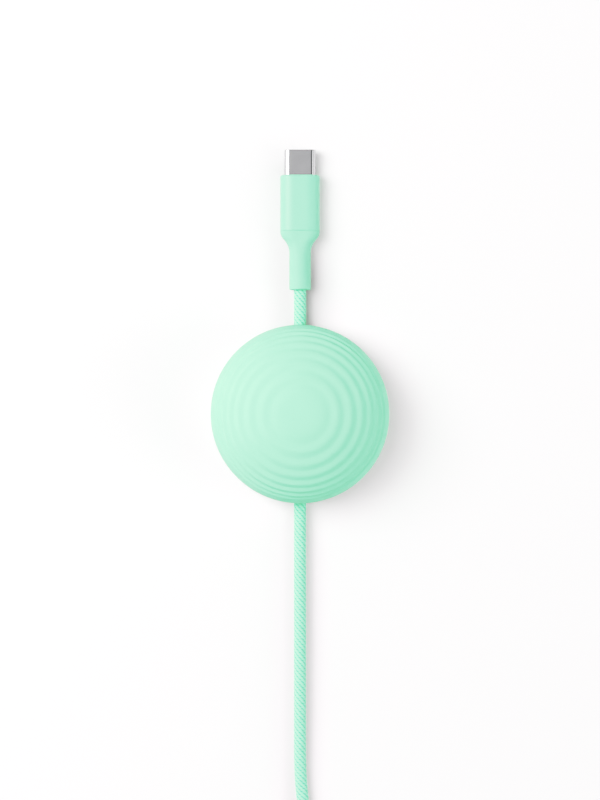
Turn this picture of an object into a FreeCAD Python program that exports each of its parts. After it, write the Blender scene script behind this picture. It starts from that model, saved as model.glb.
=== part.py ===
import FreeCAD, Part
import math
import os

# Charging cable with the same small reversible plug on both ends and a weighted, rippled dome
# that slides along the cord and keeps it on a desk. Millimetres, +Z up, +Y towards the device plug.
# The origin is the middle of the dome's foot, on the surface that everything lies on.

Vector = FreeCAD.Vector

# Cord
cord_diameter = 3.25
cord_running_gap = 0.2  # the dome slides on the cord with this gap all round
cord_bond_gap = 0.02  # between the cord and what is moulded or crimped onto it

# Dome
dome_diameter = 47.2
dome_height = 25.5
dome_belly_height = 6.5  # height of the widest ring
dome_foot_inset = 2.3  # the foot is tucked in this far under the belly
dome_wall = 2.0
dome_fit_gap = 0.1  # between the dome's skin and what it is pulled over
ripple_count = 8
ripple_depth = 0.27  # from crest to valley
ripple_middle_share = 0.5  # the first ring has this share of the others' depth
ripple_first_angle = 13.3  # degrees from the dome's axis to the first crest
ripple_step_angle = 10.9  # degrees from the first crest to the second
ripple_tightening = 0.905  # each later step is this share of the one before

# Foot of the dome
pad_thickness = 0.5
pad_margin = 0.6  # the plate's edge stands out this far past the pad
screw_circle = 27.0
screw_count = 4
screw_shank_diameter = 1.9
screw_head_diameter = 3.8
screw_head_height = 0.95
screw_length = 5.0
screw_fit_gap = 0.05
screw_hole_spare = 0.5  # the hole runs on past the screw's end
hex_across = 1.3
hex_depth = 0.6

# Plug body, one size on both ends
body_width = 10.5
body_thickness = 5.7
body_length = 14.8
body_wall = 0.9
body_front_wall = 1.2
body_front_round = 0.5
seam_bevel = 0.15  # makes the fine line between the body and the boot

# Boot behind the plug body
boot_length = 15.65
boot_fit_gap = 0.05
boot_spigot_length = 1.6
shoulder_length = 5.9
shoulder_round = 3.3  # radius of the bulge that starts the shoulder
shoulder_sections = 9
neck_width = 5.7
neck_height = 5.6
neck_end_round = 0.35

# Metal mouth of the plug
mouth_width = 8.25
mouth_height = 2.4
mouth_wall = 0.3
mouth_exposed = 6.75
mouth_seated = 5.0
mouth_lip_round = 0.2
mouth_fit_gap = 0.02

# Contacts and what carries them
carrier_setback = 0.35  # the carrier's face lies this far inside the mouth
slot_width = 6.9
slot_height = 0.85
slot_depth = 5.2
contact_pitch = 0.5
contact_width = 0.28
contact_thickness = 0.15
contact_groove_gap = 0.05
contact_groove_roof = 0.1  # what is left of the carrier above a groove
contact_bump = 0.08  # how far a contact reaches into the slot
contact_front_setback = 0.75
upper_pins = (1, 4, 5, 6, 7, 9, 12)
lower_pins = (1, 4, 5, 9, 12)
pins_per_row = 12
spring_thickness = 0.18
spring_height = 0.6
spring_catch = 0.22  # how far a side spring reaches into the slot
spring_groove_gap = 0.06

# Board, wires and crimp inside the plug body
board_width = 7.4
board_length = 4.3
board_thickness = 0.6
board_front_gap = 0.15  # between the board and the carrier
tail_length = 1.3  # of a contact, on the board
solder_gap = 0.01
wire_diameter = 0.7
wire_landing = 1.4  # of a wire, on the board
upper_wire_places = (-0.95, 0.0, 0.95)
lower_wire_places = (-0.5, 0.5)
crimp_length = 2.6
crimp_wall = 0.22
crimp_gap = 0.15  # between the boot and the crimp
jacket_stub = 0.2  # the cord's jacket ends this far past the crimp

# Layout of the whole cable
neck_clearance = 9.3  # from the dome's rim to the device plug's boot
coil_place = (0.0, -184.0)
coil_diameter = 38.0  # at the middle of its turns
coil_turns_per_layer = 3.5
coil_layers = 2
coil_edge_round = 1.5
tie_width = 8.0
tie_thickness = 0.5
tie_fit_gap = 0.05
tie_angle = -90.0  # degrees, where the tie holds the coil
charger_neck_end = (-19.5, -149.0)

# Values that follow from those above
cord_radius = cord_diameter / 2
cord_height = body_thickness / 2
channel_radius = cord_radius + cord_running_gap
dome_radius = dome_diameter / 2
dome_rise = dome_height - dome_belly_height
ripple_middle_depth = ripple_depth * ripple_middle_share
foot_drop = dome_belly_height - pad_thickness
foot_round = (dome_foot_inset**2 + foot_drop**2) / (2 * dome_foot_inset)
skin_inset = dome_wall + dome_fit_gap
device_neck_end = (0.0, dome_radius + neck_clearance)
coil_bottom = tie_thickness + tie_fit_gap
coil_outer_turn = coil_diameter / 2 + coil_turns_per_layer * cord_diameter / 2
coil_height = coil_layers * cord_diameter
coil_inner_radius = coil_diameter - coil_outer_turn - cord_radius
coil_outer_radius = coil_outer_turn + cord_radius
body_back = boot_length
body_front = body_back + body_length
mouth_tip = body_front + mouth_exposed
mouth_back = body_front - mouth_seated
cavity_width = body_width - 2 * body_wall
cavity_height = body_thickness - 2 * body_wall
crimp_back = body_back + boot_spigot_length + crimp_gap
jacket_depth = crimp_back + crimp_length + jacket_stub
board_front = mouth_back - board_front_gap
board_back = board_front - board_length
carrier_front = mouth_tip - carrier_setback
carrier_half_width = mouth_width / 2 - mouth_wall - mouth_fit_gap
carrier_half_height = mouth_height / 2 - mouth_wall - mouth_fit_gap

# The cord's free points, chosen by hand: level through the dome, then down to the surface and
# over to the outermost turn of the coil, and from the coil's top layer down to the charger plug.
cord_points = [
    (0.0, -74.0, 2.85),
    (0.0, -104.0, 2.0),
    (6.0, -122.0, 1.65),
    (16.5, -139.0, 1.65),
    (23.6, -156.0, 1.75),
    (24.69, -171.0, 2.1),
]
tail_points = [
    (-24.69, -174.5, 5.4),
    (-22.6, -165.0, 4.2),
    (-19.5, -156.8, 2.85),
]


def line(start, end):
    return Part.LineSegment(start, end).toShape()


def arc(start, middle, end):
    return Part.Arc(start, middle, end).toShape()


def cylinder_along_y(radius, start, end, x=0.0, z=0.0):
    return Part.makeCylinder(radius, end - start, Vector(x, start, z), Vector(0, 1, 0))


def box_between(corner, opposite):
    low = [min(pair) for pair in zip(corner, opposite)]
    size = [abs(a - b) for a, b in zip(corner, opposite)]
    return Part.makeBox(*size, Vector(*low))


def revolve(edges):
    # Solid of revolution about Z of a closed outline in the XZ plane.
    outline = Part.Wire(Part.__sortEdges__(edges))
    return Part.Face(outline).revolve(Vector(0, 0, 0), Vector(0, 0, 1), 360)


def edges_at_y(solid, y):
    # The edges that lie wholly in the plane at y.
    return [edge for edge in solid.Edges if all(abs(v.Point.y - y) < 1e-6 for v in edge.Vertexes)]


# Dome


def dome_point(angle, lift, inset=0.0):
    # Point of the dome's upper outline, at an angle from its axis, lifted along its normal.
    across = dome_radius - inset
    rise = dome_rise - inset
    turn = math.radians(angle)
    normal = Vector(math.sin(turn) / across, 0, math.cos(turn) / rise).normalize()
    place = Vector(across * math.sin(turn), 0, dome_belly_height + rise * math.cos(turn))
    return place + normal * lift


def dome_curve(points):
    # Smooth outline from the dome's axis to its belly, level at the top and upright at the belly.
    curve = Part.BSplineCurve()
    curve.interpolate(Points=points, InitialTangent=Vector(1, 0, 0), FinalTangent=Vector(0, 0, -1))
    return curve


def rippled_curve():
    # Rings that stand closer together towards the belly, with a valley in the middle.
    # Each flank of a ring is an edge of its own.
    points = [dome_point(0, -ripple_middle_depth / 2)]
    crest = ripple_first_angle
    step = ripple_step_angle
    for depth in [ripple_middle_depth] + [ripple_depth] * (ripple_count - 1):
        points.append(dome_point(crest, depth / 2))
        points.append(dome_point(crest + step / 2, -depth / 2))
        crest += step
        step *= ripple_tightening
    curve = dome_curve(points + [dome_point(90, 0)])
    knots = curve.getKnots()
    return [curve.toShape(start, end) for start, end in zip(knots, knots[1:])]


def smooth_curve(inset):
    return dome_curve([dome_point(angle, 0, inset) for angle in range(0, 91, 15)]).toShape()


def foot_radius(height, inset=0.0):
    # Radius of the tucked-in outline under the belly, moved in by an inset.
    drop = dome_belly_height - height
    return dome_radius - foot_round + math.sqrt((foot_round - inset) ** 2 - drop**2)


def foot_curve(height, inset=0.0):
    # Arc of that outline, from the belly down to a height.
    middle = (dome_belly_height + height) / 2
    places = [(foot_radius(z, inset), z) for z in (dome_belly_height, middle, height)]
    return arc(*[Vector(radius, 0, z) for radius, z in places])


def make_dome_skin():
    axis = line(dome_point(0, 0, dome_wall), dome_point(0, -ripple_middle_depth / 2))
    rim = line(
        Vector(foot_radius(pad_thickness), 0, pad_thickness),
        Vector(foot_radius(pad_thickness, dome_wall), 0, pad_thickness),
    )
    outside = rippled_curve() + [foot_curve(pad_thickness)]
    inside = [foot_curve(pad_thickness, dome_wall), smooth_curve(dome_wall)]
    skin = revolve(outside + [rim] + inside + [axis])
    # A notch in the rim, front and back, lets the cord through.
    slit = box_between(
        (-channel_radius, -dome_diameter, 0), (channel_radius, dome_diameter, cord_height)
    )
    return skin.cut(cord_channel().fuse(slit))


def cord_channel():
    return cylinder_along_y(channel_radius, -dome_diameter, dome_diameter, z=cord_height)


def screw_places():
    for index in range(screw_count):
        turn = 2 * math.pi * (index + 0.5) / screw_count
        yield Vector(math.cos(turn), math.sin(turn), 0) * (screw_circle / 2)


def screw_form(gap, length):
    # Countersunk screw that points up, with its head's flat face at the plate's underside.
    head = Part.makeCone(
        screw_head_diameter / 2 + gap, screw_shank_diameter / 2 + gap, screw_head_height
    )
    return head.fuse(Part.makeCylinder(screw_shank_diameter / 2 + gap, length))


def make_screws():
    socket = Part.makePolygon([
        Vector(math.cos(turn), math.sin(turn), 0) * (hex_across / math.sqrt(3))
        for turn in [math.pi * corner / 3 for corner in range(7)]
    ])
    recess = Part.Face(socket).extrude(Vector(0, 0, hex_depth))
    screw = screw_form(0, screw_length).cut(recess)
    lift = Vector(0, 0, pad_thickness)
    return Part.makeCompound([screw.translated(place + lift) for place in screw_places()])


def screw_holes():
    hole = screw_form(screw_fit_gap, screw_length + screw_hole_spare)
    lift = Vector(0, 0, pad_thickness)
    return [hole.translated(place + lift) for place in screw_places()]


def make_weight():
    # Casting that fills the skin, with a half-round saddle for the cord underneath.
    middle = Vector(0, 0, cord_height)
    floor = line(middle, Vector(foot_radius(cord_height, skin_inset), 0, cord_height))
    axis = line(middle, dome_point(0, 0, skin_inset))
    outside = [smooth_curve(skin_inset), foot_curve(cord_height, skin_inset)]
    weight = revolve(outside + [floor, axis])
    return weight.cut([cord_channel()] + screw_holes())


def make_foot_plate():
    # Plate that closes the foot, with a trough for the lower half of the cord.
    corners = [
        Vector(0, 0, pad_thickness),
        Vector(foot_radius(pad_thickness, skin_inset), 0, pad_thickness),
        Vector(foot_radius(cord_height, skin_inset), 0, cord_height),
        Vector(0, 0, cord_height),
    ]
    sides = [line(a, b) for a, b in zip(corners, corners[1:] + corners[:1])]
    return revolve(sides).cut([cord_channel()] + screw_holes())


def make_foot_pad():
    return Part.makeCylinder(foot_radius(pad_thickness, skin_inset) - pad_margin, pad_thickness)


# Plugs, each built along +Y with its boot's end at the origin


def stadium(width, height, y):
    # Flat-topped outline with full-round sides, across the plug's axis.
    radius = height / 2
    flat = width / 2 - radius
    top = [Vector(-flat, y, radius), Vector(flat, y, radius)]
    bottom = [Vector(flat, y, -radius), Vector(-flat, y, -radius)]
    return Part.Wire([
        line(*top),
        arc(top[1], Vector(flat + radius, y, 0), bottom[0]),
        line(*bottom),
        arc(bottom[1], Vector(-flat - radius, y, 0), top[0]),
    ])


def stadium_bar(width, height, start, end):
    return Part.Face(stadium(width, height, start)).extrude(Vector(0, end - start, 0))


def shoulder_half_width(behind):
    # Half the boot's width at a distance behind the seam: a bulge that runs into a hollow.
    drop = (body_width - neck_width) / 2
    lean = 2 * math.atan(drop / shoulder_length)
    hollow = shoulder_length / math.sin(lean) - shoulder_round
    if behind < shoulder_round * math.sin(lean):
        return body_width / 2 - shoulder_round + math.sqrt(shoulder_round**2 - behind**2)
    left = shoulder_length - behind
    return neck_width / 2 + hollow - math.sqrt(hollow**2 - left**2)


def shoulder_section(share):
    # Outline of the boot at a share of the shoulder's length behind the seam.
    behind = share * shoulder_length
    width = 2 * shoulder_half_width(behind)
    fullness = (width - neck_width) / (body_width - neck_width)
    height = neck_height + (body_thickness - neck_height) * fullness
    return stadium(width, height, body_back - behind)


def make_strain_relief():
    # Boot: a plain neck, a shoulder that widens to the body, and a spigot inside the body.
    neck_length = boot_length - shoulder_length
    neck = stadium_bar(neck_width, neck_height, 0, neck_length)
    neck = neck.makeFillet(neck_end_round, edges_at_y(neck, 0))
    shares = [index / (shoulder_sections - 1) for index in range(shoulder_sections)]
    shoulder = Part.makeLoft([shoulder_section(share) for share in reversed(shares)], True)
    spigot = stadium_bar(
        cavity_width - 2 * boot_fit_gap,
        cavity_height - 2 * boot_fit_gap,
        body_back,
        body_back + boot_spigot_length,
    )
    bore = cylinder_along_y(cord_radius + cord_bond_gap, -1, body_back + boot_spigot_length + 1)
    return neck.fuse([shoulder, spigot]).cut(bore).removeSplitter()


def make_plug_housing():
    body = stadium_bar(body_width, body_thickness, body_back, body_front)
    body = body.makeFillet(body_front_round, edges_at_y(body, body_front))
    body = body.makeChamfer(seam_bevel, edges_at_y(body, body_back))
    cavity = stadium_bar(cavity_width, cavity_height, body_back, body_front - body_front_wall)
    window = stadium_bar(
        mouth_width + 2 * mouth_fit_gap, mouth_height + 2 * mouth_fit_gap, mouth_back, mouth_tip
    )
    return body.cut([cavity, window])


def make_plug_shell():
    # Drawn metal tube with a rounded lip.
    tube = stadium_bar(mouth_width, mouth_height, mouth_back, mouth_tip)
    tube = tube.makeFillet(mouth_lip_round, edges_at_y(tube, mouth_tip))
    inside = stadium_bar(
        mouth_width - 2 * mouth_wall, mouth_height - 2 * mouth_wall, mouth_back, mouth_tip
    )
    return tube.cut(inside)


def pin_place(pin):
    return (pin - (pins_per_row + 1) / 2) * contact_pitch


def groove_top():
    return carrier_half_height - contact_groove_roof


def contact_grooves(pins, side):
    # A groove for each contact, closed at the back and open to the slot at the front.
    half = contact_width / 2 + contact_groove_gap
    floor = contact_floor() - contact_groove_gap
    slot_end = mouth_tip - slot_depth
    front = mouth_tip - contact_front_setback + contact_groove_gap
    for x in map(pin_place, pins):
        yield box_between((x - half, mouth_back, side * floor), (x + half, slot_end, side * groove_top()))
        yield box_between((x - half, slot_end, 0), (x + half, front, side * groove_top()))


def spring_groove(side):
    near = side * (slot_width / 2 - spring_catch - spring_groove_gap)
    far = side * (spring_outer() + spring_groove_gap)
    half = spring_height / 2 + spring_groove_gap
    front = mouth_tip - contact_front_setback + spring_groove_gap
    return box_between((near, mouth_back, -half), (far, front, half))


def make_contact_carrier():
    # Block in the mouth with the slot that takes the device's tongue.
    block = stadium_bar(2 * carrier_half_width, 2 * carrier_half_height, mouth_back, carrier_front)
    slot = box_between(
        (-slot_width / 2, mouth_tip - slot_depth, -slot_height / 2),
        (slot_width / 2, mouth_tip, slot_height / 2),
    )
    grooves = [*contact_grooves(upper_pins, 1), *contact_grooves(lower_pins, -1)]
    return block.cut([slot, spring_groove(-1), spring_groove(1)] + grooves)


def contact_floor():
    # Height of a contact's inner face where it runs in its groove.
    return groove_top() - contact_groove_gap - contact_thickness


def contact_outline():
    # Inner edge of an upper contact seen from the side: tail on the board, arm, bump and tip.
    tail = board_thickness / 2 + solder_gap
    arm = contact_floor()
    tip = mouth_tip - contact_front_setback
    arm_length = tip - mouth_back
    bump = slot_height / 2 - contact_bump
    return [
        (board_front - tail_length, tail),
        (board_front, tail),
        (mouth_back, arm),
        (mouth_back + 0.55 * arm_length, arm),
        (mouth_back + 0.86 * arm_length, bump),
        (mouth_back + 0.92 * arm_length, bump),
        (tip, arm),
    ]


def make_contacts(pins, side):
    inner = [Vector(-contact_width / 2, y, side * z) for y, z in contact_outline()]
    outer = [point + Vector(0, 0, side * contact_thickness) for point in reversed(inner)]
    blank = Part.Face(Part.makePolygon(inner + outer + inner[:1])).extrude(Vector(contact_width, 0, 0))
    return Part.makeCompound([blank.translated(Vector(pin_place(pin), 0, 0)) for pin in pins])


def spring_outer():
    return slot_width / 2 + spring_groove_gap + spring_thickness


def make_latch_springs():
    # Two flat arms beside the slot, each with a catch that holds the device's tongue.
    tip = mouth_tip - contact_front_setback
    arm_length = tip - mouth_back
    inner = slot_width / 2 + spring_groove_gap
    catch = slot_width / 2 - spring_catch
    path = [
        (inner, mouth_back),
        (inner, mouth_back + 0.7 * arm_length),
        (catch, mouth_back + 0.82 * arm_length),
        (catch, mouth_back + 0.88 * arm_length),
        (inner, tip),
    ]
    arms = []
    for side in (-1, 1):
        near = [Vector(side * x, y, -spring_height / 2) for x, y in path]
        far = [point + Vector(side * spring_thickness, 0, 0) for point in reversed(near)]
        outline = Part.Face(Part.makePolygon(near + far + near[:1]))
        arms.append(outline.extrude(Vector(0, 0, spring_height)))
    return Part.makeCompound(arms)


def make_paddle_board():
    return box_between(
        (-board_width / 2, board_back, -board_thickness / 2),
        (board_width / 2, board_front, board_thickness / 2),
    )


def make_conductors():
    # Insulated wires from the end of the cord's jacket to the back of the board.
    height = board_thickness / 2 + solder_gap + wire_diameter / 2
    landing = board_back + wire_landing
    places = [(x, height) for x in upper_wire_places] + [(x, -height) for x in lower_wire_places]
    return Part.makeCompound([
        cylinder_along_y(wire_diameter / 2, jacket_depth, landing, x, z) for x, z in places
    ])


def make_cord_crimp():
    inner = cord_radius + cord_bond_gap
    ring = cylinder_along_y(inner + crimp_wall, crimp_back, crimp_back + crimp_length)
    return ring.cut(cylinder_along_y(inner, crimp_back, crimp_back + crimp_length))


def make_plug():
    return {
        "plug_shell": make_plug_shell(),
        "contact_carrier": make_contact_carrier(),
        "upper_contacts": make_contacts(upper_pins, 1),
        "lower_contacts": make_contacts(lower_pins, -1),
        "latch_springs": make_latch_springs(),
        "paddle_board": make_paddle_board(),
        "conductors": make_conductors(),
        "cord_crimp": make_cord_crimp(),
        "plug_housing": make_plug_housing(),
        "strain_relief": make_strain_relief(),
    }


# Cord, coil and tie


def cord_path(name, points):
    # Straight runs joined by tangent arcs, each arc as large as its two runs allow.
    edges = []
    radii = []
    start = points[0]
    for before, corner, after in zip(points, points[1:], points[2:]):
        back = before - corner
        ahead = after - corner
        half_turn = (math.pi - back.getAngle(ahead)) / 2
        reach = 0.45 * min(back.Length, ahead.Length)
        radius = reach / math.tan(half_turn)
        back.normalize()
        ahead.normalize()
        inward = (back + ahead).normalize()
        middle = corner + inward * (radius / math.cos(half_turn) - radius)
        first = corner + back * reach
        edges.append(line(start, first))
        start = corner + ahead * reach
        edges.append(arc(first, middle, start))
        radii.append(round(radius, 1))
    edges.append(line(start, points[-1]))
    print(name, "bend radii", radii)
    return Part.Wire(edges)


def make_cord_tube(name, points):
    path = cord_path(name, points)
    heading = points[1] - points[0]
    section = Part.Wire(Part.makeCircle(cord_radius, points[0], heading))
    tube = path.makePipeShell([section], True, False)
    share = tube.Volume / (math.pi * cord_radius**2 * path.Length)
    print(name, "length", round(path.Length, 1), "volume over section times length", round(share, 4))
    return tube


def make_cord():
    start = Vector(device_neck_end[0], device_neck_end[1] + jacket_depth, cord_height)
    end = Vector(coil_place[0] + coil_outer_turn, coil_place[1], coil_bottom + cord_radius)
    return make_cord_tube("cord", [start] + [Vector(*point) for point in cord_points] + [end])


def make_cord_tail():
    top_layer = coil_bottom + coil_height - cord_radius
    start = Vector(coil_place[0] - coil_outer_turn, coil_place[1], top_layer)
    end = Vector(charger_neck_end[0], charger_neck_end[1] + jacket_depth, cord_height)
    return make_cord_tube("cord_tail", [start] + [Vector(*point) for point in tail_points] + [end])


def coil_section(margin):
    # Outline across the coil's turns, with rounded edges, grown by a margin.
    left = coil_inner_radius - margin
    right = coil_outer_radius + margin
    low = coil_bottom - margin
    high = coil_bottom + coil_height + margin
    radius = coil_edge_round + margin
    slab = Part.makeBox(right - left, 1, high - low, Vector(left, 0, low))
    slab = slab.makeFillet(radius, [edge for edge in slab.Edges if edge.tangentAt(0).y != 0])
    return next(face for face in slab.Faces if abs(face.normalAt(0, 0).y + 1) < 1e-6)


def make_cord_coil():
    ring = coil_section(0).revolve(Vector(0, 0, 0), Vector(0, 0, 1), 360)
    return ring.translated(Vector(*coil_place, 0))


def make_coil_tie():
    band = coil_section(tie_fit_gap + tie_thickness).cut(coil_section(tie_fit_gap)).Faces[0]
    spread = math.degrees(tie_width / (coil_diameter / 2))
    tie = band.revolve(Vector(0, 0, 0), Vector(0, 0, 1), spread)
    tie.rotate(Vector(0, 0, 0), Vector(0, 0, 1), tie_angle - spread / 2)
    return tie.translated(Vector(*coil_place, 0))


def make_cable():
    nodes = {
        "dome_skin": make_dome_skin(),
        "dome_weight": make_weight(),
        "foot_plate": make_foot_plate(),
        "foot_screws": make_screws(),
        "foot_pad": make_foot_pad(),
        "cord": make_cord(),
        "cord_coil": make_cord_coil(),
        "cord_tail": make_cord_tail(),
        "coil_tie": make_coil_tie(),
    }
    plug = make_plug()
    for end, place in (("device", device_neck_end), ("charger", charger_neck_end)):
        for piece, shape in plug.items():
            nodes[f"{end}_{piece}"] = shape.translated(Vector(*place, cord_height))
    return nodes


def main():
    os.makedirs("parts", exist_ok=True)
    for name, shape in make_cable().items():
        shape.exportStep(f"parts/{name}.step")
        state = "valid" if shape.isValid() else "not valid"
        print(name, len(shape.Solids), "solids", round(shape.Volume, 1), "mm3", state)


main()
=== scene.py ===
import bmesh
import bpy
import math
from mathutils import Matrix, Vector


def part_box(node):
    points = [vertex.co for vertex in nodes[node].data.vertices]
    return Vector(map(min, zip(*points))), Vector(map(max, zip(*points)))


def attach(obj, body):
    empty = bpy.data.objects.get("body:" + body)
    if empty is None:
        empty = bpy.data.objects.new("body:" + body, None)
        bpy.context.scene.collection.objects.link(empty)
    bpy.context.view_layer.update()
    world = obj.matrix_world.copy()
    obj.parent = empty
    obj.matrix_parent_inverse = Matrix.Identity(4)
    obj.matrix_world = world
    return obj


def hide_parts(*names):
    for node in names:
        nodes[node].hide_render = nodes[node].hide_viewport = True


# Braided charging cable with a rippled desk dome: finishes, cord and soft forms around the fixed frame.

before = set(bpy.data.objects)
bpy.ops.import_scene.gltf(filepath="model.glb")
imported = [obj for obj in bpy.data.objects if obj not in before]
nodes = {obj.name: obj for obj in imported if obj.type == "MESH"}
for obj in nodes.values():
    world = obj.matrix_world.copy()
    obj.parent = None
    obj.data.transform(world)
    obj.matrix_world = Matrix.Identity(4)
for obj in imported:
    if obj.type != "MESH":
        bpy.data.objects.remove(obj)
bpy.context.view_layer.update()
mm = 0.001  # the frame is in metres
fullTurn = 2 * math.pi
ends = ("device", "charger")
print("frame:", len(nodes), "nodes")


# Node maths: a wire is a socket that can be used in Python expressions

class Wire:
    def __init__(self, tree, socket=None):
        self.tree = tree
        self.socket = socket

    def add(self, kind, settings=None, inputs=None, out=0):
        node = self.tree.nodes.new(kind)
        for name, value in (settings or {}).items():
            setattr(node, name, value)
        for key, value in (inputs or {}).items():
            plugIn(self.tree, node.inputs[key], value)
        return Wire(self.tree, node.outputs[out])

    def other(self, out):  # another output of the same node
        return Wire(self.tree, self.socket.node.outputs[out])

    def maths(self, operation, *values):
        return self.add("ShaderNodeMath", {"operation": operation}, dict(enumerate(values)))

    def __add__(self, value):
        return self.maths("ADD", self, value)

    def __radd__(self, value):
        return self.maths("ADD", value, self)

    def __sub__(self, value):
        return self.maths("SUBTRACT", self, value)

    def __rsub__(self, value):
        return self.maths("SUBTRACT", value, self)

    def __mul__(self, value):
        return self.maths("MULTIPLY", self, value)

    def __rmul__(self, value):
        return self.maths("MULTIPLY", value, self)

    def __truediv__(self, value):
        return self.maths("DIVIDE", self, value)

    def __rtruediv__(self, value):
        return self.maths("DIVIDE", value, self)

    def __pow__(self, value):
        return self.maths("POWER", self, value)

    def __gt__(self, value):
        return self.maths("GREATER_THAN", self, value)

    def cos(self):
        return self.maths("COSINE", self)

    def sin(self):
        return self.maths("SINE", self)

    def root(self):
        return self.maths("SQRT", self)

    def split(self):  # the x, y and z of a vector
        x = self.add("ShaderNodeSeparateXYZ", {}, {0: self})
        return x, x.other("Y"), x.other("Z")

    def ranged(self, low, high, run):
        return self.add(
            "ShaderNodeMapRange",
            {"clamp": True, "interpolation_type": run},
            {"Value": self, "From Min": low, "From Max": high},
        )

    def share(self, low, high):  # 0 at low, 1 at high
        return self.ranged(low, high, "LINEAR")

    def smooth(self, low, high):  # the same with soft ends
        return self.ranged(low, high, "SMOOTHSTEP")

    def fade(self, low, high):  # 1 at low, 0 at high, with soft ends
        return 1 - self.smooth(low, high)

    def between(self, low, high):  # low at 0, high at 1
        return low + (high - low) * self

    def mixed(self, value, share):  # with this share of the other value
        return self * (1 - share) + value * share

    def tint(self, first, second):  # colour from first at 0 to second at 1
        return self.add("ShaderNodeMix", {"data_type": "RGBA"}, {0: self, 6: first, 7: second}, out=2)

    def choose(self, below, above):  # geometry trees: above where the wire is over 0
        return self.add("GeometryNodeSwitch", {"input_type": "FLOAT"}, {0: self, 1: below, 2: above})


def plugIn(tree, socket, value):
    if isinstance(value, Wire):
        tree.links.new(value.socket, socket)
    else:
        socket.default_value = value


# Finishes

def rgb(red, green, blue):
    return (red, green, blue, 1.0)


def makeFinish(name, constants, recipe):
    material = bpy.data.materials.new(name)
    material.use_nodes = True
    shader = material.node_tree.nodes["Principled BSDF"]
    for socket, value in constants.items():
        shader.inputs[socket].default_value = value
    for socket, value in recipe(Wire(material.node_tree)).items():
        plugIn(material.node_tree, shader.inputs[socket], value)
    return material


def noise(start, place, size, detail=2.0, harshness=0.5):
    return start.add(
        "ShaderNodeTexNoise",
        {"noise_dimensions": "3D"},
        {"Vector": place, "Scale": 1 / size, "Detail": detail, "Roughness": harshness},
    )


def objectPlace(start):
    return start.add("ShaderNodeTexCoord", out="Object")


def stretched(start, place, scale):
    return start.add("ShaderNodeMapping", {"vector_type": "POINT"}, {"Vector": place, "Scale": scale})


def bump(start, height, depth):
    return start.add("ShaderNodeBump", {}, {"Strength": 1.0, "Distance": depth, "Height": height})


grainLook = {
    "detail": 3.0, "harshness": 0.6, "fleck": (0.35, 0.7),
    "fleckShare": 0.3, "grainGloss": 0.5, "cloudHeight": 0.5,
}


def mouldedFinish(name, look):
    # Moulded plastic or rubber: cloudy tint, fine spark-eroded grain, uneven gloss.
    def recipe(start):
        place = objectPlace(start)
        cloud = noise(start, place, look["cloud"], grainLook["detail"])
        grain = noise(start, place, look["grain"], grainLook["detail"], grainLook["harshness"])
        fleck = grain.smooth(*grainLook["fleck"])
        return {
            "Base Color": cloud.mixed(fleck, grainLook["fleckShare"]).tint(look["dark"], look["light"]),
            "Roughness": cloud.mixed(grain, grainLook["grainGloss"]).between(*look["gloss"]),
            "Normal": bump(start, grain + cloud * grainLook["cloudHeight"], look["depth"]),
        }
    return makeFinish(name, look.get("constants", {}), recipe)


drawnLook = {"detail": 4.0, "harshness": 0.65, "smearShare": 0.5, "lineGloss": 0.4}


def metalFinish(name, look):
    # Metal with fine drawing lines along one axis and faint handling smears.
    def recipe(start):
        place = objectPlace(start)
        drawn = stretched(start, place, look["stretch"])
        lines = noise(start, drawn, look["line"], drawnLook["detail"], drawnLook["harshness"])
        smear = noise(start, place, look["smear"])
        return {
            "Base Color": lines.mixed(smear, drawnLook["smearShare"]).tint(look["dark"], look["light"]),
            "Roughness": smear.mixed(lines, drawnLook["lineGloss"]).between(*look["gloss"]),
            "Normal": bump(start, lines, look["depth"]),
        }
    return makeFinish(name, {"Metallic": 1.0, **look.get("constants", {})}, recipe)


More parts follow.
